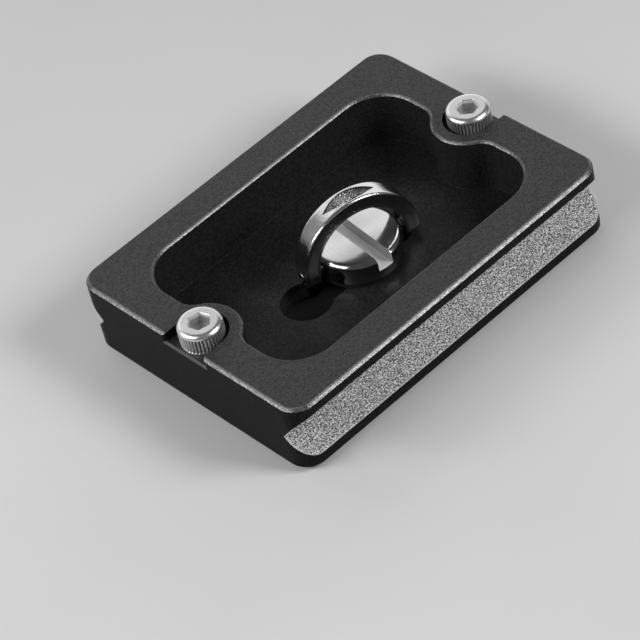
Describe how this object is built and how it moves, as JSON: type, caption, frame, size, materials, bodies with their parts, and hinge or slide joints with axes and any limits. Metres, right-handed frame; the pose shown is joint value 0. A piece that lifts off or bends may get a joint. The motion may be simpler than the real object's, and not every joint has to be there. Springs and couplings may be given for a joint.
{
  "type": "tripod quick release plate",
  "caption": "Black aluminium plate that screws under a camera and slides into a tripod clamp by its dovetail edges, with a captive camera screw, a folding finger ring and stop screws.",
  "frame": {"origin": "middle of the camera face, the flat side that lies against the camera", "axes": "+Z out of the clamp side with the pocket, +X along the plate and its screw slot, +Y across the dovetail"},
  "size_m": [0.051, 0.038, 0.0176],
  "materials": {
    "anodised": "sandblasted, black anodised",
    "turned_steel": "turned bright, fine rings on the head",
    "ring_chrome": "polished, with a knurled grip",
    "stainless": "bright, straight knurl round the head",
    "nylon": "matt black",
    "rubber": "fine ribbed"
  },
  "bodies": {
    "plate": {"plate_body": "anodised", "stop_screw_left": "stainless", "stop_screw_right": "stainless", "grip_pad_near": "rubber", "grip_pad_far": "rubber"},
    "washer": {"slide_washer": "nylon"},
    "screw": {"camera_screw": "turned_steel", "pivot_pin_left": "turned_steel", "pivot_pin_right": "turned_steel"},
    "ring": {"d_ring": "ring_chrome"}
  },
  "joints": [
    {"name": "screw_slide", "type": "slide", "parent": "plate", "child": "washer", "axis": [1, 0, 0], "range_m": [-0.0092, 0.0052]},
    {"name": "screw_spin", "type": "hinge", "parent": "washer", "child": "screw", "pos_m": [0.002, 0, 0.003], "axis": [0, 0, 1], "continuous": true},
    {"name": "ring_fold", "type": "hinge", "parent": "screw", "child": "ring", "pos_m": [0.002, 0, 0.00417], "axis": [0.9744, -0.225, 0], "range_deg": [-90, 90]}
  ]
}
